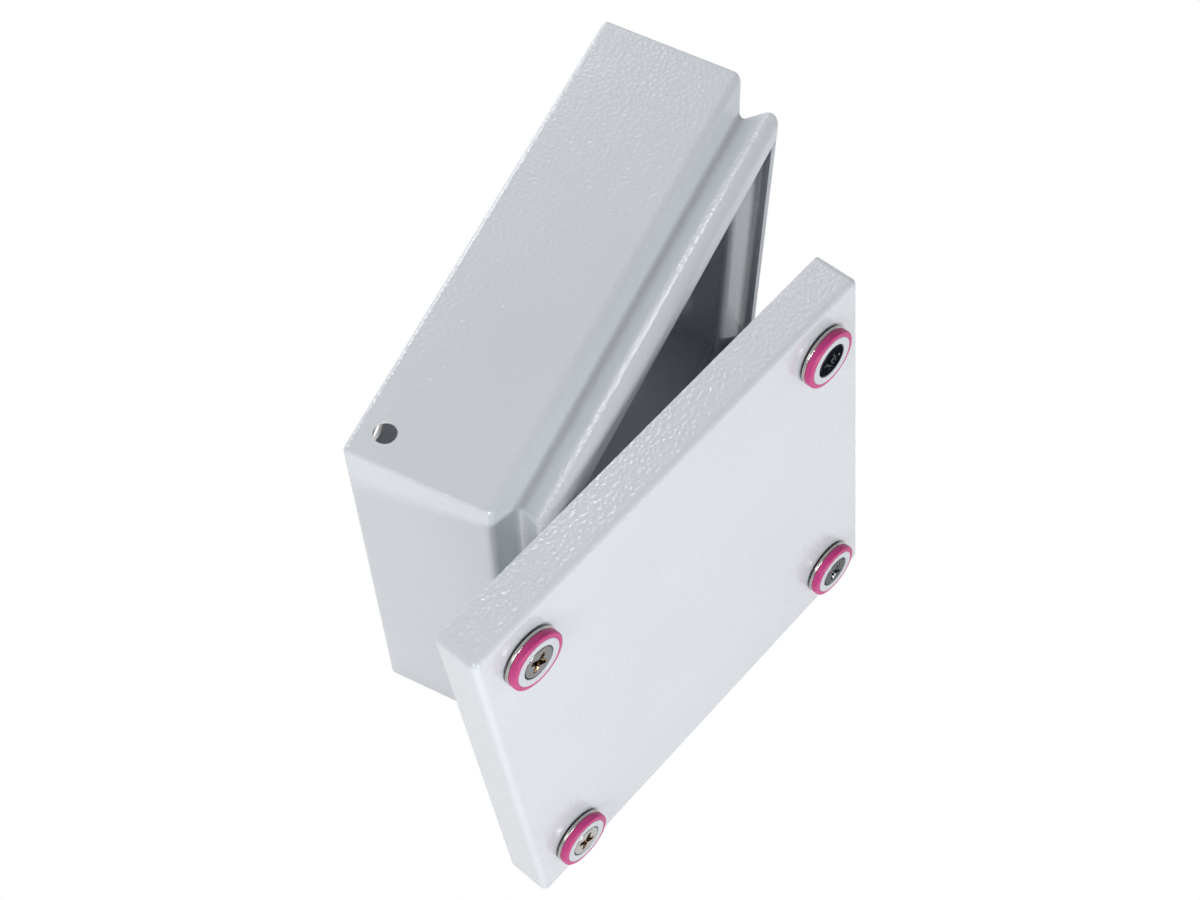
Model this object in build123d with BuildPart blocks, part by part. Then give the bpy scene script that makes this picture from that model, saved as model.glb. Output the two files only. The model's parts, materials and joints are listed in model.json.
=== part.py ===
from build123d import *
import os
from math import cos, radians, sin

# Sheet-steel installation enclosure, millimetres. The box stands on its lower wall with its opening towards -Y
# and +Z up. The origin is on the floor, under the middle of the box as it measures with its lid on. The lid is
# off: it stands on its lower edge in front of the opening and its upper flange lies over the rim.

os.makedirs("parts", exist_ok=True)

# Sheet
sheet = 1.25
edge_radius = 2.0
corner_radius = 1.4
on_edge = 0.01

# Box
box_width = 200.0
box_height = 200.0
box_depth = 80.0

# Rolled rim: the wall runs straight from the rear face, and each further run is a step in depth. Insets are
# measured from the outside of the wall
wall_run = 55.8
groove_run = 5.1
groove_inset = 11.5
lip_run = 13.3
lip_inset = 4.3
rim_run = 2.3
mouth_inset = 13.0
wall_bend = 4.0
groove_bend = 2.5
lip_bend = 4.5

# Holes in the box
top_hole_radius = 4.25
top_hole_side_inset = 11.9
top_hole_depth = 10.4
fixing_spacing = 160.0
fixing_hole_radius = 3.5

# Lid
lid_reveal = 2.0
lid_flange = 17.5
lid_corner_radius = 3.0
lid_edge_radius = 2.5
screw_inset = 21.5

# Where the lid leans
lid_yaw = 15.6
lid_lean = 7.45
lid_hook_along = 53.0
lid_hook_ahead = 2.04
lid_hook_drop = 0.4

# Gasket
gasket_inset = 5.5
gasket_width = 8.0
gasket_height = 4.0
gasket_bevel = 1.2
gasket_corner_radius = 8.0

# Corner brackets and their rivet nuts
bracket_thickness = 2.5
bracket_setback = 4.7
bracket_past_nut = 9.5
bracket_cut = 8.0
bracket_tip_radius = 2.0
bracket_gap = 0.1
nut_bore_radius = 2.5
nut_barrel_radius = 4.3
nut_barrel_length = 9.0
nut_flange_radius = 5.5
nut_flange_thickness = 0.8
nut_bulge_radius = 5.4
nut_bulge_rise = 1.0
nut_bulge_length = 3.0
nut_gap = 0.05

# Captive lid fastener, from the lid face outwards
seal_lift = 0.05
seal_thickness = 1.15
seal_radius = 11.5
washer_thickness = 1.1
washer_radius = 12.0
bush_height = 3.0
bush_radius = 10.6
bush_rim = 0.7
bush_core_radius = 9.6
spigot_radius = 4.5
spigot_hole_gap = 0.1
spigot_length = 3.2
snap_groove_depth = 0.55
snap_ring_radius = 6.0
snap_ring_thickness = 0.7
snap_ring_travel = 1.0
ring_radius = 11.9
ring_band = 0.95
ring_edge = 0.25
stack_gap = 0.05

# Lid screw
screw_radius = 3.0
screw_length = 16.0
screw_tip = 0.8
screw_running_gap = 0.08
head_radius = 6.65
head_height = 2.6
head_edge = 0.35
head_side_gap = 0.3
head_seat_gap = 0.05
recess_reach = 4.1
recess_width = 1.5
recess_depth = 2.1
recess_taper = 12.0
clip_radius = 4.2
clip_thickness = 0.6
clip_gap = 0.1
screw_turns = {"top_left": 44.0, "top_right": 76.5, "bottom_right": 51.0, "bottom_left": 53.0}

# Earthing stud on the rear panel
stud_side_inset = 40.0
stud_floor_height = 40.0
stud_radius = 3.0
stud_length = 18.0
stud_base_radius = 4.5
stud_base_height = 1.0
stud_tip = 0.8
earth_gap = 0.05
earth_washer_radius = 6.25
earth_washer_thickness = 1.6
earth_nut_width = 10.0
earth_nut_height = 5.0

# How far the walls' sections reach in over the rear panel
rear_reach = 20.0

# Worked out from the sizes above
half_width = box_width / 2
half_height = box_height / 2
rear_y = box_depth / 2
groove_depth = wall_run + groove_run
lip_depth = groove_depth + lip_run
rim_depth = lip_depth + rim_run
lid_width = box_width - 2 * lid_reveal
lid_height = box_height - 2 * lid_reveal
nut_inset = lid_reveal + screw_inset
corner_signs = {"top_left": (-1, 1), "top_right": (1, 1), "bottom_right": (1, -1), "bottom_left": (-1, -1)}


def save(piece, name):
    """Label one finished piece and write its own file."""
    piece.part.label = name
    export_step(piece.part, "parts/" + name + ".step")


def turned(plane, outline):
    """One turned or moulded round piece: an outline of (radius, height) pairs about the plane's own normal."""
    half_plane = Plane(origin=plane.origin, x_dir=plane.x_dir, z_dir=-plane.y_dir)
    with BuildPart() as piece:
        with BuildSketch(half_plane):
            with BuildLine():
                Polyline(*outline, close=True)
            make_face()
        revolve(axis=Axis(plane.origin, plane.z_dir))
    return piece


def ring(plane, inner, outer, low, high):
    """A plain washer or ring between two radii and two heights over the plane."""
    return turned(plane, [(inner, low), (outer, low), (outer, high), (inner, high)])


# Box: the sheet's section, with its rolled rim, swept round the four walls with mitred corners, and the rear
# panel that closes it. The welded corners are ground round. One hole is in the top wall, and four fixing holes
# are in the rear panel.
wall_outline = [
    (rear_y, box_height - rear_reach),
    (rear_y, box_height),
    (rear_y - wall_run, box_height),
    (rear_y - groove_depth, box_height - groove_inset),
    (rear_y - lip_depth, box_height - lip_inset),
    (rear_y - rim_depth, box_height - mouth_inset),
]
wall_bends = [edge_radius, wall_bend, groove_bend, lip_bend]
box_corners = [
    (0, box_height),
    (half_width, box_height),
    (half_width, 0),
    (-half_width, 0),
    (-half_width, box_height),
    (0, box_height),
]


def on_outer_corner(edge):
    """True for an outer edge of a welded corner, from the rear to the crest of the lip."""
    middle = edge @ 0.5
    side_inset = half_width - abs(middle.X)
    end_inset = half_height - abs(middle.Z - half_height)
    on_the_mitre = abs(side_inset - end_inset) < on_edge
    outside = wall_face.distance_to(Vector(0, middle.Y, box_height - side_inset)) < on_edge
    return on_the_mitre and outside and rear_y - middle.Y < lip_depth + sheet


with BuildLine(Plane.YZ):
    wall_face = FilletPolyline(*wall_outline, radius=wall_bends)
top_wall = Plane(origin=(-half_width + top_hole_side_inset, rear_y - top_hole_depth, box_height))
rear_panel = Plane(origin=(0, rear_y, half_height), x_dir=(-1, 0, 0), z_dir=(0, 1, 0))
with BuildPart() as enclosure_body:
    with BuildSketch(Plane.YZ) as wall_section:
        with BuildLine():
            FilletPolyline(*wall_outline, radius=wall_bends)
            offset(amount=sheet, side=Side.LEFT)
        make_face()
    with BuildLine(Plane.XZ.offset(-rear_y)) as round_the_box:
        Polyline(*box_corners)
    sweep(sections=wall_section.sketch, path=round_the_box.wires()[0], transition=Transition.RIGHT)
    with BuildSketch(rear_panel):
        Rectangle(box_width - 2 * rear_reach, box_height - 2 * rear_reach)
    extrude(amount=-sheet)
    with BuildSketch(top_wall):
        Circle(top_hole_radius)
    extrude(amount=-2 * sheet, mode=Mode.SUBTRACT)
    with BuildSketch(rear_panel):
        with GridLocations(fixing_spacing, fixing_spacing, 2, 2):
            Circle(fixing_hole_radius)
    extrude(amount=-2 * sheet, mode=Mode.SUBTRACT)
    fillet(enclosure_body.edges().filter_by(on_outer_corner), corner_radius)
save(enclosure_body, "enclosure_body")

# Corner brackets: a flat plate in each corner, welded by its two outer edges to the inside of the lip's rear
# slope. Its inner corner is cut off, and it is pierced for a rivet nut
slope_lean = (groove_inset - lip_inset) / lip_run
slope_sheet = sheet * (1 + slope_lean**2) ** 0.5
bracket_front_depth = rim_depth - bracket_setback
bracket_back_depth = bracket_front_depth - bracket_thickness
bracket_inset = lip_inset + slope_lean * (lip_depth - bracket_back_depth) + slope_sheet + bracket_gap
bracket_front = Plane(origin=(0, rear_y - bracket_front_depth, half_height), x_dir=(1, 0, 0), z_dir=(0, -1, 0))
nut_hole_radius = nut_barrel_radius + nut_gap
for corner, (side, level) in corner_signs.items():
    near_x = side * (half_width - bracket_inset)
    near_z = level * (half_height - bracket_inset)
    far_x = side * (half_width - nut_inset - bracket_past_nut)
    far_z = level * (half_height - nut_inset - bracket_past_nut)
    with BuildPart() as corner_bracket:
        with BuildSketch(bracket_front) as bracket_outline:
            with BuildLine():
                Polyline(
                    (near_x, near_z),
                    (far_x, near_z),
                    (far_x, far_z + level * bracket_cut),
                    (far_x + side * bracket_cut, far_z),
                    (near_x, far_z),
                    close=True,
                )
            make_face()
            fillet(bracket_outline.vertices(), bracket_tip_radius)
            with Locations((side * (half_width - nut_inset), level * (half_height - nut_inset))):
                Circle(nut_hole_radius, mode=Mode.SUBTRACT)
        extrude(amount=-bracket_thickness)
    save(corner_bracket, "corner_bracket_" + corner)

# Rivet nuts: a thin flange in front of the bracket, and a barrel that is upset behind it
nut_back = -bracket_thickness - nut_gap
for corner, (side, level) in corner_signs.items():
    nut_x = side * (half_width - nut_inset)
    nut_z = half_height + level * (half_height - nut_inset)
    nut_place = Plane(origin=(nut_x, rear_y - bracket_front_depth, nut_z), x_dir=(1, 0, 0), z_dir=(0, -1, 0))
    nut_outline = [
        (nut_bore_radius, nut_flange_thickness),
        (nut_flange_radius, nut_flange_thickness),
        (nut_flange_radius, 0),
        (nut_barrel_radius, 0),
        (nut_barrel_radius, nut_back),
        (nut_bulge_radius, nut_back - nut_bulge_rise),
        (nut_barrel_radius, nut_back - nut_bulge_length),
        (nut_barrel_radius, -nut_barrel_length),
        (nut_bore_radius, -nut_barrel_length),
    ]
    save(turned(nut_place, nut_outline), "rivet_nut_" + corner)

# Earthing stud on the rear panel, with a contact washer, a clamp washer and a nut over each
stud_place = Plane(
    origin=(-half_width + stud_side_inset, rear_y - sheet, stud_floor_height),
    x_dir=(1, 0, 0),
    z_dir=(0, -1, 0),
)
stud_outline = [
    (0, 0),
    (stud_base_radius, 0),
    (stud_base_radius, stud_base_height),
    (stud_radius, stud_base_height),
    (stud_radius, stud_length - stud_tip),
    (stud_radius - stud_tip, stud_length),
    (0, stud_length),
]
save(turned(stud_place, stud_outline), "earth_stud")
earth_bore_radius = stud_radius + earth_gap
earth_stack = stud_base_height
for level in ("lower", "upper"):
    washer_top = earth_stack + earth_washer_thickness
    earth_washer = ring(stud_place, earth_bore_radius, earth_washer_radius, earth_stack, washer_top)
    save(earth_washer, "earth_washer_" + level)
    with BuildPart() as earth_nut:
        with BuildSketch(stud_place.offset(washer_top)):
            RegularPolygon(earth_nut_width / 2, 6, major_radius=False)
            Circle(earth_bore_radius, mode=Mode.SUBTRACT)
        extrude(amount=earth_nut_height)
    save(earth_nut, "earth_nut_" + level)
    earth_stack = washer_top + earth_nut_height

# Lid plane: local x runs along the lid, local y up the lid and local z out of its face. It lies on the free
# edges of the flanges. The upper flange hooks over the front of the rim, and the lower one reaches the floor.
yaw = radians(lid_yaw)
lean = radians(lid_lean)
lid_along = Vector(cos(yaw), -sin(yaw), 0)
lid_out = Vector(-sin(yaw) * cos(lean), -cos(yaw) * cos(lean), sin(lean))
lid_up = lid_out.cross(lid_along)
crest_arc = wall_face.edges().filter_by(GeomType.CIRCLE).sort_by(Axis.Y)[0].arc_center
crest_inset = box_height - crest_arc.Z - lip_bend
lid_hook = Vector(
    -half_width + crest_inset,
    crest_arc.Y - lid_hook_ahead,
    box_height - crest_inset - lid_hook_drop,
)
hook_in_lid = Vector(lid_hook_along - lid_width / 2, lid_height / 2 - sheet, 0)
lid_origin = lid_hook - lid_along * hook_in_lid.X - lid_up * hook_in_lid.Y
lid_plane = Plane(origin=lid_origin, x_dir=lid_along, z_dir=lid_out)
lid_face = lid_plane.offset(lid_flange)
lid_inside = lid_plane.offset(lid_flange - sheet)
screw_across = lid_width / 2 - screw_inset
screw_up = lid_height / 2 - screw_inset
hole_radius = spigot_radius + spigot_hole_gap
lid_foot = lid_origin - lid_up * (lid_height / 2)
print("height of the lid's foot above the floor:", lid_foot.Z)

# Lid: one folded pan with ground corners and a hole for each fastener
with BuildPart() as lid:
    with BuildSketch(lid_plane):
        RectangleRounded(lid_width, lid_height, lid_corner_radius)
    extrude(amount=lid_flange)
    fillet(lid.faces().sort_by(Axis(lid_origin, lid_out))[-1].edges(), lid_edge_radius)
    offset(amount=-sheet, openings=lid.faces().sort_by(Axis(lid_origin, lid_out))[0])
    with BuildSketch(lid_face):
        with GridLocations(2 * screw_across, 2 * screw_up, 2, 2):
            Circle(hole_radius)
    extrude(amount=-2 * sheet, mode=Mode.SUBTRACT)
save(lid, "lid")

# Gasket: a foamed bead round the inside of the lid, where the lip presses
with BuildPart() as lid_gasket:
    with BuildSketch(lid_inside):
        gasket_long = lid_width - 2 * gasket_inset
        gasket_high = lid_height - 2 * gasket_inset
        RectangleRounded(gasket_long, gasket_high, gasket_corner_radius + gasket_width)
        RectangleRounded(
            gasket_long - 2 * gasket_width,
            gasket_high - 2 * gasket_width,
            gasket_corner_radius,
            mode=Mode.SUBTRACT,
        )
    extrude(amount=-gasket_height)
    chamfer(lid_gasket.faces().sort_by(Axis(lid_origin, lid_out))[0].edges(), gasket_bevel)
save(lid_gasket, "lid_gasket")

# Captive fasteners: a moulded bush through the lid carries a seal, a washer and a coloured ring outside and a
# snap ring inside, and the lid screw turns in it
seal_top = seal_lift + seal_thickness
washer_top = seal_top + washer_thickness
bush_top = washer_top + bush_height
bush_rim_low = bush_top - bush_rim
head_seat = bush_top - head_height - head_seat_gap
snap_ring_top = -sheet - snap_ring_travel
snap_ring_low = snap_ring_top - snap_ring_thickness
spigot_low = -spigot_length
snap_groove_radius = spigot_radius - snap_groove_depth
screw_bore_radius = screw_radius + screw_running_gap
head_bore_radius = head_radius + head_side_gap
clip_top = spigot_low - clip_gap
for corner, (side, level) in corner_signs.items():
    place = Plane(
        origin=lid_face.from_local_coords(Vector(side * screw_across, level * screw_up, 0)),
        x_dir=lid_along,
        z_dir=lid_out,
    )
    bush_outline = [
        (screw_bore_radius, spigot_low),
        (spigot_radius, spigot_low),
        (spigot_radius, snap_ring_low),
        (snap_groove_radius, snap_ring_low),
        (snap_groove_radius, snap_ring_top),
        (spigot_radius, snap_ring_top),
        (spigot_radius, washer_top),
        (bush_core_radius, washer_top),
        (bush_core_radius, bush_rim_low),
        (bush_radius, bush_rim_low),
        (bush_radius, bush_top),
        (head_bore_radius, bush_top),
        (head_bore_radius, head_seat),
        (screw_bore_radius, head_seat),
    ]
    save(turned(place, bush_outline), "screw_bush_" + corner)
    seal = ring(place, spigot_radius + stack_gap, seal_radius, seal_lift, seal_top)
    save(seal, "sealing_ring_" + corner)
    washer = ring(place, spigot_radius + stack_gap, washer_radius, seal_top, washer_top)
    save(washer, "pressure_washer_" + corner)
    ring_outline = [
        (bush_core_radius + stack_gap, washer_top),
        (ring_radius, washer_top),
        (ring_radius, washer_top + ring_band),
        (bush_radius + ring_edge, bush_top - ring_edge),
        (bush_radius + stack_gap, bush_top - ring_edge),
        (bush_radius + stack_gap, bush_rim_low - stack_gap),
        (bush_core_radius + stack_gap, bush_rim_low - stack_gap),
    ]
    save(turned(place, ring_outline), "marker_ring_" + corner)
    snap_ring = ring(place, snap_groove_radius, snap_ring_radius, snap_ring_low, snap_ring_top)
    save(snap_ring, "snap_ring_" + corner)
    screw_seat = head_seat + head_seat_gap
    screw_end = screw_seat - screw_length
    screw_outline = [
        (0, screw_end),
        (screw_radius - screw_tip, screw_end),
        (screw_radius, screw_end + screw_tip),
        (screw_radius, screw_seat),
        (head_radius, screw_seat),
        (head_radius, bush_top - head_edge),
        (head_radius - head_edge, bush_top),
        (0, bush_top),
    ]
    half_plane = Plane(origin=place.origin, x_dir=place.x_dir, z_dir=-place.y_dir)
    with BuildPart() as lid_screw:
        with BuildSketch(half_plane):
            with BuildLine():
                Polyline(*screw_outline, close=True)
            make_face()
        revolve(axis=Axis(place.origin, place.z_dir))
        with BuildSketch(place.offset(bush_top)):
            Rectangle(2 * recess_reach, recess_width, rotation=screw_turns[corner])
            Rectangle(recess_width, 2 * recess_reach, rotation=screw_turns[corner])
        extrude(amount=-recess_depth, taper=recess_taper, mode=Mode.SUBTRACT)
    save(lid_screw, "lid_screw_" + corner)
    clip = ring(place, screw_radius, clip_radius, clip_top - clip_thickness, clip_top)
    save(clip, "screw_clip_" + corner)
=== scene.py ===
# %% [markdown]
# # Sheet-steel installation enclosure, lid off
#
# The object is a small terminal box of bent sheet steel. Its walls roll in to a groove, out to a lip and
# in again to the mouth, and the lid stands in front, leaning on that rim. Everything here is built in
# metres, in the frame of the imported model, so a piece goes where the model says. The model's own solids
# stay where their shape is enough, and finer meshes stand for the ones that the eye rests on.

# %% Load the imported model
import json
import math

import bmesh
import bpy
from mathutils import Matrix, Vector


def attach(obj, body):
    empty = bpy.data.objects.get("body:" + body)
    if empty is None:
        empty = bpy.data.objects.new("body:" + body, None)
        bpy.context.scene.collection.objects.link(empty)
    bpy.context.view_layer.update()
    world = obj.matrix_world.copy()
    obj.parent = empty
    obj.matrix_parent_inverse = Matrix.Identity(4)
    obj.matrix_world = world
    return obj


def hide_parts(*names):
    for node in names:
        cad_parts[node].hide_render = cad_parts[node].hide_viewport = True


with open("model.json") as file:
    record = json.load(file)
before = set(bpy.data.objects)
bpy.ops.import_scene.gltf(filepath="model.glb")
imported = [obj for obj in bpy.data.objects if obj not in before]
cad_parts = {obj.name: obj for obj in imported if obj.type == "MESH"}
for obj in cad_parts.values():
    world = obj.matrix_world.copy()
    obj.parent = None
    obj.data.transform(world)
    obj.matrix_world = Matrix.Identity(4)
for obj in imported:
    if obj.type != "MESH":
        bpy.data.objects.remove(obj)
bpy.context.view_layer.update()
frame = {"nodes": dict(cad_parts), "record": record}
mm = 0.001
corners = {"top_left": (-1, 1), "top_right": (1, 1), "bottom_right": (1, -1), "bottom_left": (-1, -1)}

# %% [markdown]
# ## Camera
#
# The camera looks down at the box from the left and the front, about 63 degrees below the horizon. It
# could be set by eye, but the edges of a square box tell where the camera stood and how long its lens
# was, so both are given as worked out from them. A level camera keeps the floor level in every view. So
# its turn is built from three directions, of which the right one is horizontal.

# %% Camera
camera_place = Vector((-366.97, -187.33, 856.49)) * mm
camera_turn = math.radians(26.13)
camera_drop = math.radians(62.66)
level_part = math.cos(camera_drop)
ahead = (level_part * math.cos(camera_turn), level_part * math.sin(camera_turn))
forward = Vector((*ahead, -math.sin(camera_drop)))
right = Vector((math.sin(camera_turn), -math.cos(camera_turn), 0))
camera_data = bpy.data.cameras.new("camera")
camera_data.sensor_fit = "HORIZONTAL"
camera_data.sensor_width = 36.0
camera_data.lens = 66.52
camera_data.clip_start = 0.05
camera = bpy.data.objects.new("camera", camera_data)
camera_axes = Matrix((right, right.cross(forward), -forward)).transposed().to_4x4()
camera.matrix_world = Matrix.Translation(camera_place) @ camera_axes
bpy.context.scene.collection.objects.link(camera)
bpy.context.scene.camera = camera
print("camera looks along", [round(part, 3) for part in forward])

# %% [markdown]
# ## Helpers for node trees
#
# Materials and Geometry Nodes are both trees of nodes. Building them line by line in the script is long,
# so a few small helpers keep them readable. A value that is a socket is linked, and any other value is
# set.


# %% Node helpers
def add_node(tree, kind, inputs=None, **settings):
    """Add a node, set its own settings, and set or link its inputs by name or number."""
    made = tree.nodes.new(kind)
    for name, value in settings.items():
        setattr(made, name, value)
    for name, value in (inputs or {}).items():
        if isinstance(value, bpy.types.NodeSocket):
            tree.links.new(value, made.inputs[name])
        else:
            made.inputs[name].default_value = value
    return made


def calc(tree, operation, *values):
    """Add a Math node and give back its result."""
    return add_node(tree, "ShaderNodeMath", dict(enumerate(values)), operation=operation).outputs[0]


def ramp(tree, value, low, high, to_low=0.0, to_high=1.0):
    """Map a value from one range to another, and give back the result."""
    limits = {"Value": value, "From Min": low, "From Max": high, "To Min": to_low, "To Max": to_high}
    return add_node(tree, "ShaderNodeMapRange", limits).outputs["Result"]


def object_noise(tree, size, detail, **inputs):
    """A noise on Object coordinates, with patches of about a given size in metres."""
    place = add_node(tree, "ShaderNodeTexCoord").outputs["Object"]
    inputs = {"Vector": place, "Scale": 1 / size, "Detail": detail, **inputs}
    return add_node(tree, "ShaderNodeTexNoise", inputs).outputs["Fac"]


def add_bump(tree, shader, height, strength, distance):
    """Let a height between 0 and 1 tilt the surface, as if 1 were a distance in metres."""
    bump = add_node(tree, "ShaderNodeBump", {"Height": height, "Strength": strength, "Distance": distance})
    tree.links.new(bump.outputs["Normal"], shader.inputs["Normal"])


def new_material(name, color, roughness, **sockets):
    """A material with one Principled shader. Other sockets are given with underscores for spaces."""
    material = bpy.data.materials.new(name)
    material.use_nodes = True
    shader = material.node_tree.nodes["Principled BSDF"]
    shader.inputs["Base Color"].default_value = (*color, 1)
    shader.inputs["Roughness"].default_value = roughness
    for socket, value in sockets.items():
        shader.inputs[socket.replace("_", " ")].default_value = value
    return material, material.node_tree, shader


def gray(level):
    """A neutral colour."""
    return (level, level, level)


# %% [markdown]
# ## Powder coat
#
# The steel is covered with a light grey powder coat. It melts to a skin with a fine orange peel, which
# breaks the reflection of a small lamp into separate sparks, and a few grains stay proud. Modelling the
# peel would take millions of faces. Two noises make it instead, through Bump: one for its swell and a
# fainter one, four times finer, for its grain. Both read Object coordinates, so the peel has one real
# size on every piece.

# %% Powder coat material
coat_color = (0.66, 0.695, 0.74)
coat_roughness = 0.2
peel_size = 1.45 * mm
peel_height = 0.15 * mm
grain_size = 0.35 * mm
grain_share = 0.05
drifts_per_metre = 14.0
darkest_drift = 0.975
lightest_drift = 1.02
noise_low = 0.3
noise_high = 0.7


def powder_coat():
    """The coat: an orange peel with a few proud grains, and a slow drift of tone."""
    material, tree, shader = new_material("powder_coat", coat_color, coat_roughness, Specular_IOR_Level=0.6)
    peel = object_noise(tree, peel_size, 0.6, Roughness=0.4)
    grain = object_noise(tree, grain_size, 1.0)
    height = calc(tree, "MULTIPLY_ADD", grain, grain_share, peel)
    add_bump(tree, shader, height, strength=1.0, distance=peel_height)
    tone = object_noise(tree, 1 / drifts_per_metre, 3.0)
    drift = ramp(tree, tone, noise_low, noise_high, darkest_drift, lightest_drift)
    tint = add_node(tree, "ShaderNodeVectorMath", {0: coat_color, "Scale": drift}, operation="SCALE")
    tree.links.new(tint.outputs["Vector"], shader.inputs["Base Color"])
    return material


box_coat = powder_coat()
print("coat with a peel of", peel_size, "m and a grain of", grain_size, "m")

# %% [markdown]
# ## Metal, plastic and rubber
#
# The screws, washers and nuts are plated steel: a metal with a slightly blotched shine. The bushes are a
# light grey plastic, the rings on them a magenta elastomer, and the seals black rubber. All of them are
# one finish with other numbers: a plain colour whose roughness drifts, because handled things never shine
# evenly. So one function makes them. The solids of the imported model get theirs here, and the finer meshes
# get the same later.


# %% Metal, plastic and rubber materials
def mottled(name, color, roughness, spread, size, bump_height=0.0, **sockets):
    """A finish whose roughness drifts over patches of a given size, with an optional fine bump."""
    material, tree, shader = new_material(name, color, roughness, **sockets)
    patches = object_noise(tree, size, 3.0)
    drift = ramp(tree, patches, noise_low, noise_high, roughness - spread, roughness + spread)
    tree.links.new(drift, shader.inputs["Roughness"])
    if bump_height:
        add_bump(tree, shader, patches, strength=0.6, distance=bump_height)
    return material


zinc = mottled("zinc_plated_steel", (0.52, 0.50, 0.47), 0.24, 0.08, 1.2 * mm, Metallic=1.0)
black_rubber = mottled("black_rubber", gray(0.012), 0.62, 0.1, 1.5 * mm, 0.02 * mm)
gasket_foam = mottled("gasket_foam", gray(0.02), 0.85, 0.08, 0.6 * mm, 0.15 * mm)
gray_plastic = mottled("grey_plastic", (0.60, 0.63, 0.68), 0.42, 0.06, 1.0 * mm, 0.01 * mm)
white_plastic = mottled("white_plastic", (0.8, 0.8, 0.78), 0.45, 0.06, 1.0 * mm, 0.01 * mm)
magenta = mottled("magenta_elastomer", (0.52, 0.035, 0.20), 0.42, 0.06, 1.0 * mm, 0.01 * mm)
slot_materials = {
    "powder_coat": box_coat,
    "zinc_plated_steel": zinc,
    "black_rubber": black_rubber,
    "gasket_foam": gasket_foam,
    "grey_plastic": gray_plastic,
    "white_plastic": white_plastic,
    "magenta_elastomer": magenta,
}
for part in frame["record"]["subparts"]:
    piece = frame["nodes"][part["node"]]
    piece.data.materials.clear()
    piece.data.materials.append(slot_materials[part["material_slot"]])
print("finishes", sorted(slot_materials))

# %% [markdown]
# ## Bent sheet as a section
#
# A folded sheet could be a thin surface with a Solidify modifier, but then the ground corners outside and
# the sharp ones inside could not have radii of their own. It is easiest to draw as its section: a line of
# straight runs with a radius at each bend, and the same line again one sheet thickness further in.
# Offsetting the corners first and rounding them afterwards keeps the thickness even. The second line's
# radius is one thickness smaller where it runs inside a bend, and one thickness larger where it runs
# outside.


# %% Section helpers
def rounded_line(points, radii, turn_steps=8):
    """Points of a line whose inner corners are rounded. Each full quarter turn gets turn_steps chords."""
    line = [Vector(points[0])]
    for before, corner, after, radius in zip(points, points[1:], points[2:], radii):
        back = (Vector(before) - Vector(corner)).normalized()
        ahead = (Vector(after) - Vector(corner)).normalized()
        half_angle = back.angle(ahead) / 2
        center = Vector(corner) + (back + ahead).normalized() * (radius / math.sin(half_angle))
        start = Vector(corner) + back * (radius / math.tan(half_angle)) - center
        turn = math.pi - 2 * half_angle
        if back.x * ahead.y - back.y * ahead.x > 0:
            turn = -turn
        chords = max(3, round(turn_steps * abs(turn) / (math.pi / 2)))
        for step in range(chords + 1):
            arc = Matrix.Rotation(turn * step / chords, 2)
            line.append(center + arc @ start)
    line.append(Vector(points[-1]))
    return line


def closed_line(points, radii):
    """A closed outline with every corner rounded. It starts and ends in the middle of its last side."""
    start = (Vector(points[0]) + Vector(points[-1])) / 2
    return rounded_line([start, *points, start], radii)


def offset_corners(points, distance):
    """The corners of a line moved to its right by a distance."""
    sides = []
    for start, end in zip(points, points[1:]):
        along = (Vector(end) - Vector(start)).normalized()
        aside = Vector((along.y, -along.x)) * distance
        sides.append((Vector(start) + aside, along))
    moved = [sides[0][0]]
    for (first, first_along), (second, second_along) in zip(sides, sides[1:]):
        across = first_along.x * second_along.y - first_along.y * second_along.x
        gap = second - first
        reach = (gap.x * second_along.y - gap.y * second_along.x) / across
        moved.append(first + first_along * reach)
    last_along = sides[-1][1]
    moved.append(Vector(points[-1]) + Vector((last_along.y, -last_along.x)) * distance)
    return moved


# %% [markdown]
# ## A rule for walls: rounded square rings
#
# The box, the lid and the gasket follow one rule: every point of the section becomes a ring round a
# square with rounded corners. They could be swept along a curve, but a sweep pinches where a wide section
# turns a tight corner. Geometry Nodes can say the rule itself in one tree. The section comes in as a line
# of points that hold an inset from the outside, a height and a corner radius. A flat grid is then moved
# so that each of its rows becomes one ring.


# %% Tree for square rings
def new_tree(name, sockets):
    """An empty Geometry Nodes tree with named inputs. Gives the tree, its input node and its output."""
    tree = bpy.data.node_groups.new(name, "GeometryNodeTree")
    tree.is_modifier = True
    tree.interface.new_socket("Geometry", in_out="INPUT", socket_type="NodeSocketGeometry")
    tree.interface.new_socket("Geometry", in_out="OUTPUT", socket_type="NodeSocketGeometry")
    for label, kind in sockets:
        tree.interface.new_socket(label, in_out="INPUT", socket_type="NodeSocket" + kind)
    return tree, tree.nodes.new("NodeGroupInput"), tree.nodes.new("NodeGroupOutput")


def finish_tree(tree, given, result, geometry):
    """Merge the seams, set smooth shading and the material, and end the tree."""
    merged = add_node(tree, "GeometryNodeMergeByDistance", {"Geometry": geometry, "Distance": 0.001 * mm})
    smooth = add_node(tree, "GeometryNodeSetShadeSmooth", {"Geometry": merged.outputs[0]})
    solid = add_node(tree, "GeometryNodeRealizeInstances", {"Geometry": smooth.outputs[0]})
    dressed = {"Geometry": solid.outputs[0], "Material": given.outputs["Material"]}
    finished = add_node(tree, "GeometryNodeSetMaterial", dressed)
    tree.links.new(finished.outputs[0], result.inputs["Geometry"])


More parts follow.
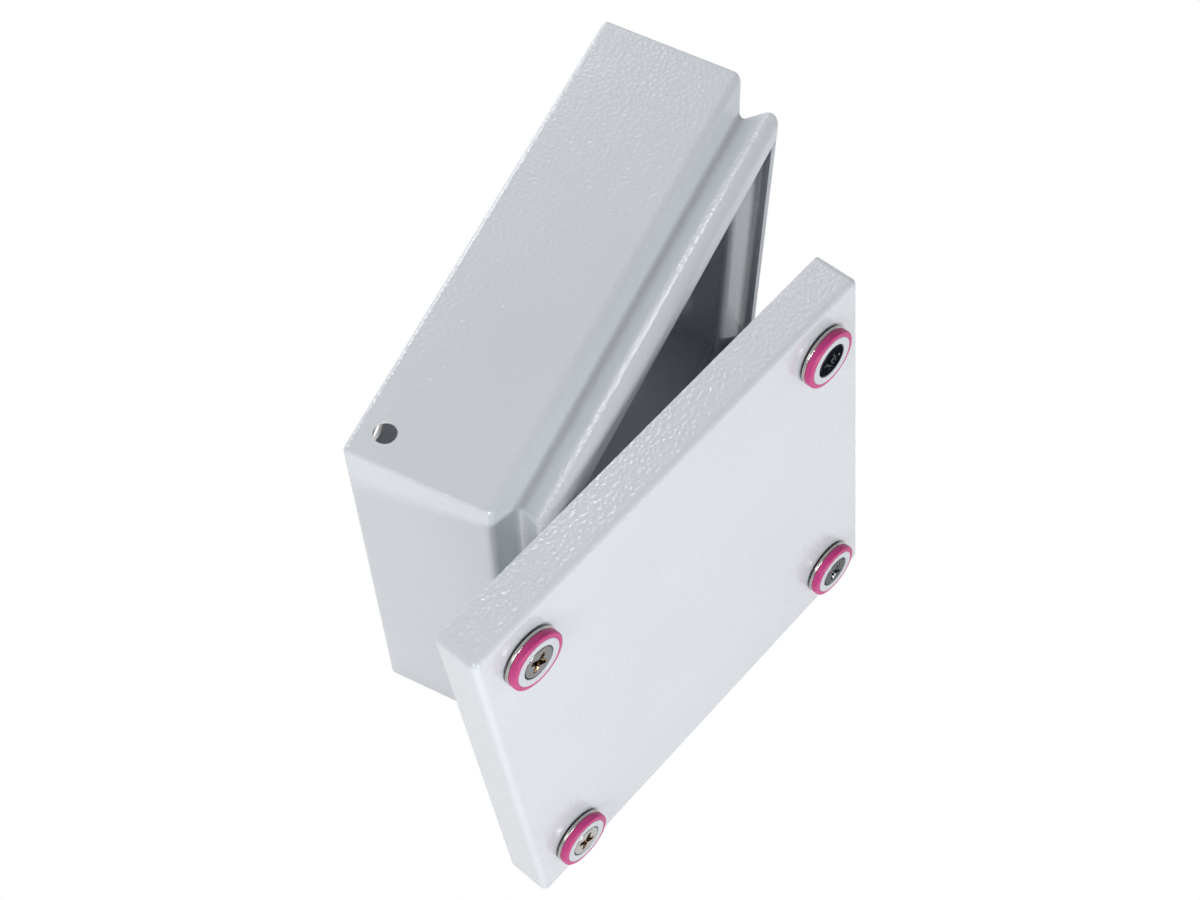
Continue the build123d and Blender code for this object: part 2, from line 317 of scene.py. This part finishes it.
def grid_rows(tree, given, columns):
    """A flat grid with one row for each section point.

    Gives the grid, the number of a vertex's column and the section point of its row."""
    section = given.outputs["Geometry"]
    count = add_node(tree, "GeometryNodeAttributeDomainSize", {"Geometry": section}, component="MESH")
    rows = count.outputs["Point Count"]
    last_column = calc(tree, "SUBTRACT", columns, 1)
    last_row = calc(tree, "SUBTRACT", rows, 1)
    grid_size = {"Size X": last_column, "Size Y": last_row, "Vertices X": columns, "Vertices Y": rows}
    grid = add_node(tree, "GeometryNodeMeshGrid", grid_size)
    position = add_node(tree, "GeometryNodeInputPosition").outputs[0]
    place = add_node(tree, "ShaderNodeSeparateXYZ", {0: position})
    column = calc(tree, "ROUND", calc(tree, "MULTIPLY_ADD", last_column, 0.5, place.outputs["X"]))
    row = calc(tree, "ROUND", calc(tree, "MULTIPLY_ADD", last_row, 0.5, place.outputs["Y"]))
    point = add_node(
        tree,
        "GeometryNodeSampleIndex",
        {"Geometry": section, "Value": position, "Index": row},
        data_type="FLOAT_VECTOR",
        domain="POINT",
    )
    numbers = add_node(tree, "ShaderNodeSeparateXYZ", {0: point.outputs["Value"]})
    return grid.outputs["Mesh"], column, numbers


def square_ring_tree():
    """Each section point becomes a ring round a square with rounded corners."""
    sizes = [("Half size", "Float"), ("Corner steps", "Int"), ("Material", "Material")]
    tree, given, result = new_tree("square_rings", sizes)
    steps = given.outputs["Corner steps"]
    columns = calc(tree, "MULTIPLY_ADD", steps, 4.0, 1.0)
    grid, column, section = grid_rows(tree, given, columns)
    inset, height, radius = (section.outputs[axis] for axis in "XYZ")
    corner = calc(tree, "FLOOR", calc(tree, "DIVIDE", calc(tree, "ADD", column, 0.25), steps))
    step = calc(tree, "SUBTRACT", column, calc(tree, "MULTIPLY", corner, steps))
    share = calc(tree, "DIVIDE", step, calc(tree, "SUBTRACT", steps, 1.0))
    turn = calc(tree, "MULTIPLY", calc(tree, "ADD", corner, share), math.pi / 2)
    middle = calc(tree, "MULTIPLY", calc(tree, "ADD", corner, 0.5), math.pi / 2)
    reach = calc(tree, "SUBTRACT", calc(tree, "SUBTRACT", given.outputs["Half size"], inset), radius)
    spots = []
    for wave in ("COSINE", "SINE"):
        side = calc(tree, "SIGN", calc(tree, wave, middle))
        round_part = calc(tree, "MULTIPLY", radius, calc(tree, wave, turn))
        spots.append(calc(tree, "MULTIPLY_ADD", side, reach, round_part))
    spot = add_node(tree, "ShaderNodeCombineXYZ", {"X": spots[0], "Y": spots[1], "Z": height})
    moved = add_node(tree, "GeometryNodeSetPosition", {"Geometry": grid, "Position": spot.outputs[0]})
    finish_tree(tree, given, result, moved.outputs[0])
    return tree


square_rings = square_ring_tree()
print("nodes in the tree for square rings", len(square_rings.nodes))

# %% [markdown]
# ## A rule for turned pieces
#
# Screws, washers, rings and nuts are turned: every point of their section becomes a circle. A Screw
# modifier could turn them, but it would wind a whole section and not a thread between two plain ends, and
# it cuts no hexagon. The same grid does all of it. A third number at each point says how deep the thread
# is cut there, and the thread winds because its triangle wave is shifted by the share of a turn. A width
# across flats cuts the circles to a hexagon.


# %% Tree for turned pieces
def turned_ring_tree():
    """Each section point (radius, height, thread depth) becomes a circle, threaded or cut to flats."""
    sizes = [("Steps", "Int"), ("Pitch", "Float"), ("Flats", "Float"), ("Material", "Material")]
    tree, given, result = new_tree("turned_rings", sizes)
    steps = given.outputs["Steps"]
    grid, column, section = grid_rows(tree, given, calc(tree, "ADD", steps, 1.0))
    radius, height, depth = (section.outputs[axis] for axis in "XYZ")
    share = calc(tree, "DIVIDE", column, steps)
    turn = calc(tree, "MULTIPLY", share, 2 * math.pi)
    winding = calc(tree, "SUBTRACT", calc(tree, "DIVIDE", height, given.outputs["Pitch"]), share)
    wave = calc(tree, "MULTIPLY", calc(tree, "PINGPONG", winding, 0.5), 2.0)
    cut = calc(tree, "SUBTRACT", radius, calc(tree, "MULTIPLY", wave, depth))
    sixth = math.pi / 3
    from_flat = calc(tree, "SUBTRACT", calc(tree, "FLOORED_MODULO", turn, sixth), sixth / 2)
    half_flats = calc(tree, "MULTIPLY", given.outputs["Flats"], 0.5)
    to_flat = calc(tree, "DIVIDE", half_flats, calc(tree, "COSINE", from_flat))
    reach = calc(tree, "MINIMUM", cut, to_flat)
    across = calc(tree, "MULTIPLY", reach, calc(tree, "COSINE", turn))
    aside = calc(tree, "MULTIPLY", reach, calc(tree, "SINE", turn))
    spot = add_node(tree, "ShaderNodeCombineXYZ", {"X": across, "Y": aside, "Z": height})
    moved = add_node(tree, "GeometryNodeSetPosition", {"Geometry": grid, "Position": spot.outputs[0]})
    finish_tree(tree, given, result, moved.outputs[0])
    return tree


turned_rings = turned_ring_tree()
print("nodes in the tree for turned pieces", len(turned_rings.nodes))

# %% [markdown]
# ## From a section to a plain mesh
#
# The modifier runs on a mesh that is only the section's line. Its result is copied to a plain mesh,
# drilled where the piece has holes, and moved to its place in the frame. The moving is done to the mesh
# and not to the object, so that Object coordinates keep the frame's own scale and origin. Weighted
# normals keep the wide flats flat while the bends between them stay smooth.


# %% Making a piece from its section
def section_mesh(name, points):
    """A line of points (inset or radius, height, corner radius), in millimetres, as a mesh in metres."""
    mesh = bpy.data.meshes.new(name)
    edges = [(index, index + 1) for index in range(len(points) - 1)]
    mesh.from_pydata([Vector(point) * mm for point in points], edges, [])
    return mesh


def evaluated_mesh(piece):
    """Give the piece a plain mesh with its modifiers applied, and remove the modifiers."""
    bpy.context.view_layer.update()
    depsgraph = bpy.context.evaluated_depsgraph_get()
    mesh = bpy.data.meshes.new_from_object(piece.evaluated_get(depsgraph))
    piece.modifiers.clear()
    old = piece.data
    piece.data = mesh
    bpy.data.meshes.remove(old)


def face_outwards(mesh):
    """Turn a closed mesh's faces round if they point in."""
    shape = bmesh.new()
    shape.from_mesh(mesh)
    if shape.calc_volume(signed=True) < 0:
        bmesh.ops.reverse_faces(shape, faces=shape.faces)
        shape.to_mesh(mesh)
    shape.free()


def run_tree(name, tree, points, **inputs):
    """Run a tree on a section, and give back the object with its plain mesh."""
    piece = bpy.data.objects.new(name, section_mesh(name, points))
    bpy.context.scene.collection.objects.link(piece)
    modifier = piece.modifiers.new("rule", "NODES")
    modifier.node_group = tree
    for item in tree.interface.items_tree:
        label = item.name.replace(" ", "_").lower()
        if item.in_out == "INPUT" and label in inputs:
            modifier[item.identifier] = inputs[label]
    evaluated_mesh(piece)
    face_outwards(piece.data)
    return piece


round_steps = 72
thread_pitch = 1.0
no_flats = 1000.0


def turned_piece(name, section, material, flats=no_flats):
    """A turned piece from its section, in millimetres. A point without a third number has no thread."""
    points = [(*point, 0)[:3] for point in section]
    sizes = {"steps": round_steps, "pitch": thread_pitch * mm, "flats": flats * mm}
    return run_tree(name, turned_rings, points, material=material, **sizes)


# %% Cutting holes and placing a piece
def cut_prism(piece, low_outline, high_outline, matrix, finish=None):
    """Cut out a prism between two outlines of (x, y, z) points, in millimetres, moved by a matrix.

    The walls of the cut take the finish, where one is given."""
    steps = len(low_outline)
    faces = [(k, (k + 1) % steps, steps + (k + 1) % steps, steps + k) for k in range(steps)]
    faces += [tuple(reversed(range(steps))), tuple(range(steps, 2 * steps))]
    cutter_mesh = bpy.data.meshes.new("cutter")
    cutter_mesh.from_pydata([(matrix @ Vector(v)) * mm for v in low_outline + high_outline], [], faces)
    if finish:
        cutter_mesh.materials.append(finish)
    cutter = bpy.data.objects.new("cutter", cutter_mesh)
    bpy.context.scene.collection.objects.link(cutter)
    cut = piece.modifiers.new("cut", "BOOLEAN")
    cut.object = cutter
    cut.solver = "EXACT"
    cut.material_mode = "TRANSFER" if finish else "INDEX"
    evaluated_mesh(piece)
    bpy.data.objects.remove(cutter)
    bpy.data.meshes.remove(cutter_mesh)


def circle_outline(radius, level, steps=48):
    """The outline of a circle at a height."""
    turns = [2 * math.pi * step / steps for step in range(steps)]
    return [(radius * math.cos(turn), radius * math.sin(turn), level) for turn in turns]


def drill(piece, holes):
    """Cut round holes. Each is a place, a direction, a radius and a depth, in millimetres."""
    for place, direction, radius, depth in holes:
        aim = Matrix.Translation(place) @ Vector(direction).to_track_quat("Z", "Y").to_matrix().to_4x4()
        cut_prism(piece, circle_outline(radius, -depth), circle_outline(radius, depth), aim)


def place_piece(piece, body, replaced, matrix=None, sharp_angle=40.0):
    """Set the shading, move the mesh to its place, hang it on its body and hide the solids it stands for.
    """
    piece.data.set_sharp_from_angle(angle=math.radians(sharp_angle))
    weighted = piece.modifiers.new("flats", "WEIGHTED_NORMAL")
    weighted.keep_sharp = True
    weighted.weight = 100
    evaluated_mesh(piece)
    if matrix is not None:
        piece.data.transform(matrix)
    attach(piece, body)
    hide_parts(*replaced)
    print(piece.name, len(piece.data.polygons), "faces")


# %% [markdown]
# ## Box
#
# The box is bent sheet, and its corners are welded and ground to a small radius. Its section starts at
# the middle of the rear panel, turns up into the wall, in to the groove, out to the lip and in to the
# mouth, and comes back one sheet thickness further in. The rule then makes all four walls at once, so
# their mitres meet by themselves. One hole is in the top wall and four are in the rear panel.

# %% Box
sheet = 1.25
box_size = 200.0
rear_y = 40.0
box_corner = 1.4
inner_corner = 0.3
box_outline = [(100, 0), (0, 0), (0, 55.8), (11.5, 60.9), (4.3, 74.2), (13, 76.5)]
box_bends = [2.0, 4.0, 2.5, 4.5]
thickness_at_bends = [-sheet, -sheet, sheet, -sheet]
inside_bends = [bend + change for bend, change in zip(box_bends, thickness_at_bends)]
outside = rounded_line(box_outline, box_bends)
inside = rounded_line(offset_corners(box_outline, sheet), inside_bends)
box_section = [(*point, box_corner) for point in outside]
box_section += [(*point, inner_corner) for point in reversed(inside)]
box_section[0] = (*outside[0], 0)
box_section[-1] = (*inside[0], 0)
box_sizes = {"half_size": box_size / 2 * mm, "corner_steps": 7}
box = run_tree("box_skin", square_rings, box_section, material=box_coat, **box_sizes)
box_upright = Matrix(((1, 0, 0, 0), (0, 0, -1, rear_y * mm), (0, 1, 0, box_size / 2 * mm), (0, 0, 0, 1)))
box.data.transform(box_upright)
top_hole_place = (-88.1, 29.6, box_size)
top_hole_radius = 4.25
fixing_hole_radius = 3.5
fixing = 80.0
hole_depth = 3.0
box_holes = [(top_hole_place, (0, 0, 1), top_hole_radius, hole_depth)]
for side in (-fixing, fixing):
    for level in (-fixing, fixing):
        place = (side, rear_y, box_size / 2 + level)
        box_holes.append((place, (0, 1, 0), fixing_hole_radius, hole_depth))
drill(box, box_holes)
place_piece(box, "enclosure", ["enclosure_body"])

# %% [markdown]
# ## Lid
#
# The lid is a shallow pan that follows the same rule. It stands on its foot, turned and leaning back,
# with the inside of its upper flange hooked over the crest of the rim. A leaning pan is hard to draw in
# place, so its mesh is made lying flat and then moved by one matrix. The columns of that matrix are the
# directions along the lid, up the lid and out of its face.

# %% Where the lid leans
lid_yaw = math.radians(15.6)
lid_lean = math.radians(7.45)
lid_along = Vector((math.cos(lid_yaw), -math.sin(lid_yaw), 0))
lid_level = math.cos(lid_lean)
lid_out = Vector((-math.sin(lid_yaw) * lid_level, -math.cos(lid_yaw) * lid_level, math.sin(lid_lean)))
lid_up = lid_out.cross(lid_along)
lid_size = 196.0
lid_depth = 17.5
lid_hook_along = 53.0
crest_inset = 6.480741200324928
hook_y = -33.351575295336484
hook_drop = 0.4
hook = Vector((-box_size / 2 + crest_inset, hook_y, box_size - crest_inset - hook_drop))
hook_in_lid = Vector((lid_hook_along - lid_size / 2, lid_size / 2 - sheet))
lid_center = hook - lid_along * hook_in_lid.x - lid_up * hook_in_lid.y
lid_place = Matrix((lid_along, lid_up, lid_out)).transposed().to_4x4()
lid_place.translation = lid_center * mm
print("lid centre", [round(part, 2) for part in lid_center])

# %% Lid
lid_corner = 3.0
lid_inner_corner = 0.5
lid_bend = 2.5
lid_hole_radius = 4.6
screw_inset = 21.5
screw_spot = lid_size / 2 - screw_inset
lid_middle = lid_size / 2
lid_inside = [(lid_middle, lid_depth - sheet), (sheet, lid_depth - sheet), (sheet, 0)]
lid_outside = [(0, 0), (0, lid_depth), (lid_middle, lid_depth)]
inner_line = rounded_line(lid_inside, [lid_bend - sheet])
outer_line = rounded_line(lid_outside, [lid_bend])
lid_line = inner_line + outer_line
lid_section = [(*point, max(lid_corner - point.x, lid_inner_corner)) for point in lid_line]
lid_section[0] = (*inner_line[0], 0)
lid_section[-1] = (*outer_line[-1], 0)
lid_sizes = {"half_size": lid_size / 2 * mm, "corner_steps": 9}
lid = run_tree("lid_skin", square_rings, lid_section, material=box_coat, **lid_sizes)
lid_holes = []
for side, level in corners.values():
    place = (side * screw_spot, level * screw_spot, lid_depth)
    lid_holes.append((place, (0, 0, 1), lid_hole_radius, hole_depth))
drill(lid, lid_holes)
place_piece(lid, "enclosure", ["lid"], lid_place)

# %% [markdown]
# ## Gasket
#
# A foamed bead runs round the inside of the lid and keeps dust and water out. It is poured on and rises,
# so its crown is round. It could be a bevelled curve, but the walls' rule fits it as it is: one section,
# swept round a square with wide corners.

# %% Gasket
gasket_line = [(5.5, 16.24), (5.5, 12.25), (13.5, 12.25), (13.5, 16.24)]
gasket_bends = [0.3, 2.6, 2.6, 0.3]
gasket_outline = closed_line(gasket_line, gasket_bends)
gasket_section = [(*point, screw_inset - point.x) for point in gasket_outline]
gasket_sizes = {"half_size": lid_size / 2 * mm, "corner_steps": 12}
gasket = run_tree("gasket_bead", square_rings, gasket_section, material=gasket_foam, **gasket_sizes)
place_piece(gasket, "enclosure", ["lid_gasket"], lid_place)

# %% [markdown]
# ## Captive fasteners
#
# Four stacks hold the lid. Seen from outside, each is a black seal, a plated washer, a magenta ring, the
# flat cap of a light grey bush and the screw's head in the middle. Behind the lid a snap ring holds the
# bush and a clip holds the screw. All are turned pieces, so they are drawn as sections of radius and
# height over the lid, and the rule for turned pieces makes them. Each corner is rounded a little, because
# a sharp edge catches no light.

# %% Sections of the fasteners
seal_line = [(4.55, 0.05), (11.3, 0.05), (11.3, 0.95), (4.55, 0.95)]
washer_line = [(4.55, 0.95), (12.0, 0.95), (12.0, 2.3), (4.55, 2.3)]
bush_line = [
    (3.08, -3.2),
    (4.5, -3.2),
    (4.5, -2.95),
    (3.95, -2.95),
    (3.95, -2.25),
    (4.5, -2.25),
    (4.5, 2.3),
    (9.5, 2.3),
    (9.5, 4.6),
    (9.8, 4.9),
    (9.8, 5.3),
    (6.95, 5.3),
    (6.95, 2.65),
    (3.08, 2.65),
]
bush_radii = [0.1, 0.1, 0.05, 0.05, 0.05, 0.05, 0.1, 0.2, 0.1, 0.1, 0.2, 0.25, 0.2, 0.2]
marker_line = [(9.6, 2.3), (11.9, 2.3), (11.9, 5.05), (9.9, 5.2), (9.6, 4.6)]
marker_radii = [0.1, 0.4, 0.8, 0.1, 0.05]
snap_line = [(3.95, -2.95), (6.0, -2.95), (6.0, -2.25), (3.95, -2.25)]
clip_line = [(3.0, -3.9), (4.2, -3.9), (4.2, -3.3), (3.0, -3.3)]
stack_table = [
    ("seal", "sealing_ring", closed_line(seal_line, [0.1, 0.5, 0.5, 0.1]), "black_rubber"),
    ("washer", "pressure_washer", closed_line(washer_line, [0.1, 0.35, 0.35, 0.1]), "zinc_plated_steel"),
    ("bush", "screw_bush", closed_line(bush_line, bush_radii), "grey_plastic"),
    ("marker", "marker_ring", closed_line(marker_line, marker_radii), "magenta_elastomer"),
    ("circlip", "snap_ring", closed_line(snap_line, [0.1] * 4), "zinc_plated_steel"),
]
print("points in each section", {name: len(section) for name, _, section, _ in stack_table})

# %% [markdown]
# ## Screws and their recess
#
# A screw is one turned piece with a wound thread. Its cross recess is not round, so it is cut with a
# prism that narrows towards its floor. Each screw stopped at its own angle, because hands don't line them
# up.

# %% Screw section and recess
def thread_points(radius, low, high, depth, rows_per_mm=8, run_out=0.8):
    """Section points of a thread that runs out at both ends."""
    rows = round(rows_per_mm * abs(high - low))
    points = []
    for row in range(rows + 1):
        level = low + (high - low) * row / rows
        fade = min(1.0, abs(level - low) / run_out, abs(high - level) / run_out)
        points.append((radius, level, depth * fade))
    return points


head_top = 5.3
screw_section = [(0, -13.3), (2.2, -13.3), *thread_points(3.0, -12.5, -4.6, 0.55)]
head_line = [(3.0, -4.5), (3.0, 2.7), (6.45, 2.7), (6.45, head_top), (0, head_top)]
screw_section += [tuple(point) for point in rounded_line(head_line, [0.15, 0.2, 0.5])]
screw_turns = {"top_left": 44.0, "top_right": 76.5, "bottom_right": 51.0, "bottom_left": 53.0}


def cross_outline(reach, half_width, level):
    """The outline of a cross with four equal arms that narrow to their tips."""
    tip = 0.6 * half_width
    outline = []
    for quarter in range(4):
        turn = Matrix.Rotation(quarter * math.pi / 2, 3, "Z")
        for x, y in ((half_width, -half_width), (reach, -tip), (reach, tip)):
            outline.append(tuple(turn @ Vector((x, y, level))))
    return outline


recess_floor = cross_outline(2.4, 0.85, head_top - 2.3)
recess_mouth = cross_outline(4.4, 1.4, head_top + 0.1)
print("points in the screw's section", len(screw_section))

# %% [markdown]
# ## Finishes of the screws
#
# Plating takes a tone of its own on every screw: handled ones are duller and darker, and one is nearly
# black. A dark metal still turns white where the eye grazes it, which real dull plating doesn't, so each
# tone also has a tint for that edge. The recess is painted dark, as painted shade, and a noise picks bright
# patches in it that are painted glints. The glints are bronze on some screws and plain on others.


# %% Finishes of the screws
def recess_shade_and_glints(name, dark, bright, size=0.8 * mm):
    """Metal painted dark as shade in the recess, with bright patches of a given size painted as glints."""
    material, tree, shader = new_material(name, dark, roughness=0.3, Metallic=1.0)
    # The bright patches are painted glints, and the dark colour is painted shade.
    painted_glints = ramp(tree, object_noise(tree, size, detail=2.0), low=0.5, high=0.62)
    colors = {"Factor": painted_glints, 6: (*dark, 1), 7: (*bright, 1)}
    tone = add_node(tree, "ShaderNodeMix", colors, data_type="RGBA")
    tree.links.new(tone.outputs[2], shader.inputs["Base Color"])
    return material


# The recess finishes are painted shade with painted glints, bronze on some screws and plain on others.
bronze_recess = recess_shade_and_glints("bronze_recess", (0.03, 0.02, 0.015), (0.70, 0.50, 0.32))
steel_recess = recess_shade_and_glints("steel_recess", (0.02, 0.02, 0.022), (0.55, 0.57, 0.60))
screw_tones = {
    "top_left": ((0.27, 0.27, 0.275), 0.26, 0.8, bronze_recess),
    "top_right": ((0.05, 0.053, 0.06), 0.22, 0.3, steel_recess),
    "bottom_right": ((0.16, 0.165, 0.17), 0.30, 0.6, steel_recess),
    "bottom_left": ((0.46, 0.45, 0.43), 0.25, 1.0, bronze_recess),
}
screw_patches = {"spread": 0.1, "size": 0.9 * mm, "bump_height": 0.06 * mm}
screw_finishes = {}
for corner, (color, roughness, edge, recess) in screw_tones.items():
    sockets = {"Metallic": 1.0, "Specular_Tint": (*gray(edge), 1)}
    metal = mottled("plated_screw_" + corner, color, roughness, **screw_patches, **sockets)
    screw_finishes[corner] = (metal, recess)
print("screw finishes", [metal.name for metal, _ in screw_finishes.values()])

# %% [markdown]
# ## Making the fasteners
#
# One loop over the four corners makes all the stacks. A stack slides in the lid's hole and its screw
# turns in the stack, so the rings ride on one body and the screw with its clip on another. That way every
# piece follows when the model moves.

# %% Making the fasteners
for corner, (side, level) in corners.items():
    hole = Vector((side * screw_spot, level * screw_spot, lid_depth)) * mm
    spot = lid_place @ Matrix.Translation(hole)
    for name, node, section, slot in stack_table:
        piece = turned_piece(name + "_" + corner, section, slot_materials[slot])
        place_piece(piece, "stack_" + corner, [node + "_" + corner], spot)
    metal, recess = screw_finishes[corner]
    screw = turned_piece("screw_piece_" + corner, screw_section, metal)
    recess_turn = Matrix.Rotation(math.radians(screw_turns[corner]), 4, "Z")
    cut_prism(screw, recess_floor, recess_mouth, recess_turn, recess)
    place_piece(screw, "screw_" + corner, ["lid_screw_" + corner], spot, 30.0)
    clip = turned_piece("clip_piece_" + corner, closed_line(clip_line, [0.15] * 4), white_plastic)
    place_piece(clip, "screw_" + corner, ["screw_clip_" + corner], spot)

# %% [markdown]
# ## Rivet nuts
#
# Each corner bracket holds a rivet nut for a lid screw. A rivet nut is set from the front only: its
# flange stays outside, and its barrel is pulled up into a bulge behind the plate. It is threaded all the
# way through, and the rule for turned pieces cuts an inside thread when the depth is negative.

# %% Rivet nuts
out_of_mouth = Matrix(((1, 0, 0), (0, 0, -1), (0, 1, 0))).to_4x4()
bracket_front = -31.8
nut_line = [
    (2.5, 0.8),
    (5.5, 0.8),
    (5.5, 0),
    (4.3, 0),
    (4.3, -2.55),
    (5.4, -3.55),
    (4.3, -5.55),
    (4.3, -9),
    (2.5, -9),
]
nut_outside = rounded_line(nut_line, [0.3, 0.1, 0.1, 0.3, 0.6, 0.6, 0.3])
nut_thread = thread_points(2.5, -9, 0.8, -0.45)
nut_section = [tuple(point) for point in nut_outside] + nut_thread[1:]
for corner, (side, level) in corners.items():
    place = Vector((side * screw_spot, bracket_front, box_size / 2 + level * screw_spot)) * mm
    nut = turned_piece("nut_piece_" + corner, nut_section, zinc)
    spot = Matrix.Translation(place) @ out_of_mouth
    place_piece(nut, "enclosure", ["rivet_nut_" + corner], spot)

# %% [markdown]
# ## Earthing stud
#
# A threaded stud is welded to the rear panel, low on the left, so that the box can be earthed. A cable's
# ring goes between its two washers, and a hexagon nut presses on each. They are turned pieces too,
# stacked by their heights over the panel.

# %% Earthing stud
stud_place = Vector((-60, rear_y - sheet, 40)) * mm
stud_section = [(0, 0), (4.5, 0), (4.5, 1), *thread_points(3.0, 1, 17.3, 0.55), (2.2, 18), (0, 18)]
bore = 3.05
washer_height = 1.6
nut_height = 5.0
nut_chamfer = 0.35
nut_flats = 10.0
spot = Matrix.Translation(stud_place) @ out_of_mouth
stud = turned_piece("earth_stud_piece", stud_section, zinc)
place_piece(stud, "enclosure", ["earth_stud"], spot, 25.0)
for name, low in (("lower", 1.0), ("upper", 7.6)):
    top = low + washer_height
    ring = [(bore, low), (6.25, low), (6.25, top), (bore, top)]
    washer = turned_piece("earth_washer_" + name + "_piece", closed_line(ring, [0.1, 0.3, 0.3, 0.1]), zinc)
    place_piece(washer, "enclosure", ["earth_washer_" + name], spot, 25.0)
for name, low in (("lower", 2.6), ("upper", 9.2)):
    top = low + nut_height
    hexagon = [(bore, low), (5.2, low), (5.9, low + nut_chamfer)]
    hexagon += [(5.9, top - nut_chamfer), (5.2, top), (bore, top)]
    section = closed_line(hexagon, [0.1] * 6)
    nut = turned_piece("earth_nut_" + name + "_piece", section, zinc, flats=nut_flats)
    place_piece(nut, "enclosure", ["earth_nut_" + name], spot, 25.0)

# %% [markdown]
# ## Light
#
# A pale box on white shows only by its shading, so the lamps decide how it looks. The key lamp stands low
# at the front left. From there it reaches the far side of the rim past the lid's edge, and stays out of
# the deep inside. A soft lamp from the left comes in over the rim. Two small ones from the far right
# break up into sparks in the coat, and one behind draws the lip's crest. A wide one lights the back. Its
# reflection is switched off, because it would wash out the top wall when it is seen from the front.

# %% Light
world = bpy.data.worlds.new("studio")
world.use_nodes = True
world.node_tree.nodes["Background"].inputs["Color"].default_value = (1, 1, 1, 1)
world.node_tree.nodes["Background"].inputs["Strength"].default_value = 0.285
bpy.context.scene.world = world
lamp_distance = 1.4
lamp_target = Vector((0, 0, 0.1))


def place_lamp(name, direction, size, level):
    """A square lamp aimed at the box. At level 1 it alone lights a facing surface to its own colour."""
    data = bpy.data.lights.new(name, "AREA")
    data.size = size
    data.energy = level * (math.pi * lamp_distance) ** 2
    lamp = bpy.data.objects.new(name, data)
    lamp.location = lamp_target + Vector(direction).normalized() * lamp_distance
    lamp.rotation_euler = (lamp_target - lamp.location).to_track_quat("-Z", "Y").to_euler()
    bpy.context.scene.collection.objects.link(lamp)
    return lamp


place_lamp("key_lamp", (-0.46, -0.84, 0.30), 0.3, 0.415)
place_lamp("left_lamp", (-0.82, 0.02, 0.57), 0.5, 0.34)
place_lamp("far_lamp", (0.45, 0.52, 0.73), 0.25, 0.13)
place_lamp("glint_lamp", (0.60, 0.31, 0.74), 0.05, 0.014)
place_lamp("crest_lamp", (0.42, 0.79, 0.44), 0.3, 0.15)
rear_lamp = place_lamp("rear_lamp", (0.60, 0.75, 0.25), 1.2, 0.60)
rear_lamp.visible_glossy = False
print("lamps", len(bpy.data.lights))

# %% [markdown]
# ## Floor
#
# The box stands on a white floor. It could be lit until it is plain white, but then the pale box would
# burn out first. So the floor's shader asks what kind of ray meets it, through Light Path. The camera and
# the reflections see a plain white glow, and the light that bounces sees ordinary white paint.

# %% Floor
floor_mesh = bpy.data.meshes.new("floor")
floor_half = 3.0
floor_drop = -0.02 * mm
square = ((-1, -1), (1, -1), (1, 1), (-1, 1))
floor_points = [(side * floor_half, level * floor_half, floor_drop) for side, level in square]
floor_mesh.from_pydata(floor_points, [], [(0, 1, 2, 3)])
floor = bpy.data.objects.new("floor", floor_mesh)
bpy.context.scene.collection.objects.link(floor)
floor_paint, floor_tree, floor_shader = new_material("floor_white", gray(0.95), 0.9)
floor_glow = add_node(floor_tree, "ShaderNodeEmission", {"Color": (1, 1, 1, 1), "Strength": 1.0})
rays = add_node(floor_tree, "ShaderNodeLightPath").outputs
mirrored = calc(floor_tree, "MAXIMUM", rays["Is Glossy Ray"], rays["Is Transmission Ray"])
seen = calc(floor_tree, "MAXIMUM", mirrored, rays["Is Camera Ray"])
sides = {"Fac": seen, 1: floor_shader.outputs[0], 2: floor_glow.outputs[0]}
floor_mix = add_node(floor_tree, "ShaderNodeMixShader", sides)
floor_tree.links.new(floor_mix.outputs[0], floor_tree.nodes["Material Output"].inputs["Surface"])
floor_mesh.materials.append(floor_paint)
print("floor is", 2 * floor_half, "metres wide")

# %% [markdown]
# ## Colours
#
# The Standard view shows colours as they were written, which suits a product picture.

# %% Colours as written
bpy.context.scene.view_settings.view_transform = "Standard"
